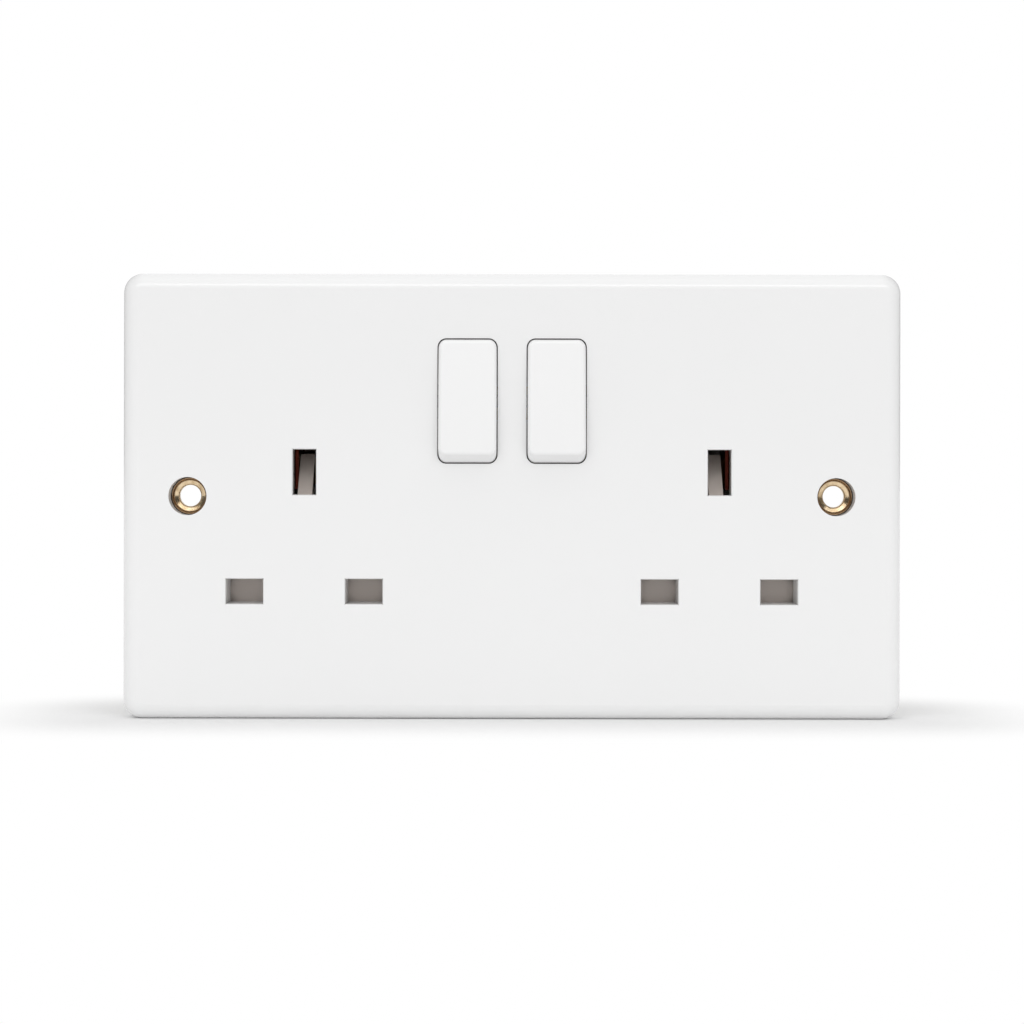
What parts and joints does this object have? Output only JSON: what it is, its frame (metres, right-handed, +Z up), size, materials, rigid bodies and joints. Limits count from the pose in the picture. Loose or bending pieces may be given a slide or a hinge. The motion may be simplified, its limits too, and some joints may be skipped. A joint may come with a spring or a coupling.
{
  "type": "switched socket",
  "caption": "Two-gang switched wall socket for flat-pin plugs, with rocker switches, sliding shutters, sprung contacts, terminals and a fixing plate with brass eyelets.",
  "frame": {"origin": "midway between the two fixing holes, on the plane of the wall", "axes": "+X to the right along the plate, +Z up, -Y out of the wall towards the user"},
  "size_m": [0.145, 0.0287, 0.083],
  "materials": {
    "plate_white": "moulded urea, gloss",
    "rocker_white": "moulded urea, gloss",
    "housing_white": "moulded, satin",
    "shutter_white": "moulded, satin",
    "flag_red": "moulded insert",
    "plunger_nylon": "moulded, satin",
    "eyelet_brass": "drawn and rolled, bright",
    "brass_block": "machined",
    "brass_strip": "rolled strip, pressed",
    "phosphor_bronze": "rolled strip, folded",
    "contact_silver": "silver alloy, bright",
    "zinc_steel": "zinc plated",
    "spring_steel": "drawn wire"
  },
  "bodies": {
    "root": {"front_plate": "plate_white", "base_moulding": "housing_white", "base_screws": "zinc_steel", "line_bar": "brass_strip", "neutral_bar": "brass_strip", "earth_strap": "brass_strip", "neutral_terminal": "brass_block", "earth_terminal": "brass_block", "line_terminal": "brass_block", "eyelet_left": "eyelet_brass", "eyelet_right": "eyelet_brass", "fixed_tip_left": "contact_silver", "fixed_tip_right": "contact_silver", "line_link_left": "brass_strip", "line_link_right": "brass_strip", "line_contact_left": "phosphor_bronze", "line_contact_right": "phosphor_bronze", "neutral_contact_left": "phosphor_bronze", "neutral_contact_right": "phosphor_bronze", "earth_contact_left": "phosphor_bronze", "earth_contact_right": "phosphor_bronze", "shutter_spring_left": "spring_steel", "shutter_spring_right": "spring_steel"},
    "rocker_left": {"rocker_left": "rocker_white", "on_flag_left": "flag_red", "rocker_spring_left": "spring_steel"},
    "plunger_left": {"plunger_left": "plunger_nylon"},
    "see_saw_left": {"moving_contact_left": "brass_strip", "moving_tip_left": "contact_silver"},
    "shutter_left": {"shutter_left": "shutter_white"},
    "rocker_right": {"rocker_right": "rocker_white", "on_flag_right": "flag_red", "rocker_spring_right": "spring_steel"},
    "plunger_right": {"plunger_right": "plunger_nylon"},
    "see_saw_right": {"moving_contact_right": "brass_strip", "moving_tip_right": "contact_silver"},
    "shutter_right": {"shutter_right": "shutter_white"},
    "neutral_screw": {"neutral_terminal_screw": "zinc_steel"},
    "earth_screw": {"earth_terminal_screw": "zinc_steel"},
    "line_screw": {"line_terminal_screw": "zinc_steel"}
  },
  "joints": [
    {"name": "rocker_tilt_left", "type": "hinge", "parent": "root", "child": "rocker_left", "pos_m": [-0.00828, -0.0052, 0.01775], "axis": [1, 0, 0], "range_deg": [0, 14]},
    {"name": "plunger_slide_left", "type": "slide", "parent": "rocker_left", "child": "plunger_left", "axis": [0, -0.9925, 0.1219], "range_m": [0, 0.001], "stiffness_N_per_m": 800, "springref_m": -0.0015, "deforming": ["rocker_spring_left"]},
    {"name": "see_saw_rock_left", "type": "hinge", "parent": "root", "child": "see_saw_left", "pos_m": [-0.00828, 0.0074, 0.01775], "axis": [1, 0, 0], "range_deg": [-10, 0]},
    {"name": "shutter_slide_left", "type": "slide", "parent": "root", "child": "shutter_left", "axis": [0, 0, -1], "range_m": [0, 0.0075], "stiffness_N_per_m": 200, "springref_m": -0.004, "deforming": ["shutter_spring_left"]},
    {"name": "rocker_tilt_right", "type": "hinge", "parent": "root", "child": "rocker_right", "pos_m": [0.00828, -0.0052, 0.01775], "axis": [1, 0, 0], "range_deg": [0, 14]},
    {"name": "plunger_slide_right", "type": "slide", "parent": "rocker_right", "child": "plunger_right", "axis": [0, -0.9925, 0.1219], "range_m": [0, 0.001], "stiffness_N_per_m": 800, "springref_m": -0.0015, "deforming": ["rocker_spring_right"]},
    {"name": "see_saw_rock_right", "type": "hinge", "parent": "root", "child": "see_saw_right", "pos_m": [0.00828, 0.0074, 0.01775], "axis": [1, 0, 0], "range_deg": [-10, 0]},
    {"name": "shutter_slide_right", "type": "slide", "parent": "root", "child": "shutter_right", "axis": [0, 0, -1], "range_m": [0, 0.0075], "stiffness_N_per_m": 200, "springref_m": -0.004, "deforming": ["shutter_spring_right"]},
    {"name": "neutral_screw_advance", "type": "slide", "parent": "root", "child": "neutral_screw", "axis": [0, -1, 0], "range_m": [0, 0.0016]},
    {"name": "earth_screw_advance", "type": "slide", "parent": "root", "child": "earth_screw", "axis": [0, -1, 0], "range_m": [0, 0.0016]},
    {"name": "line_screw_advance", "type": "slide", "parent": "root", "child": "line_screw", "axis": [0, -1, 0], "range_m": [0, 0.0016]}
  ],
  "couplings": [
    {"joint": "see_saw_rock_left", "follows": "rocker_tilt_left", "ratio": -0.71429},
    {"joint": "see_saw_rock_right", "follows": "rocker_tilt_right", "ratio": -0.71429}
  ]
}
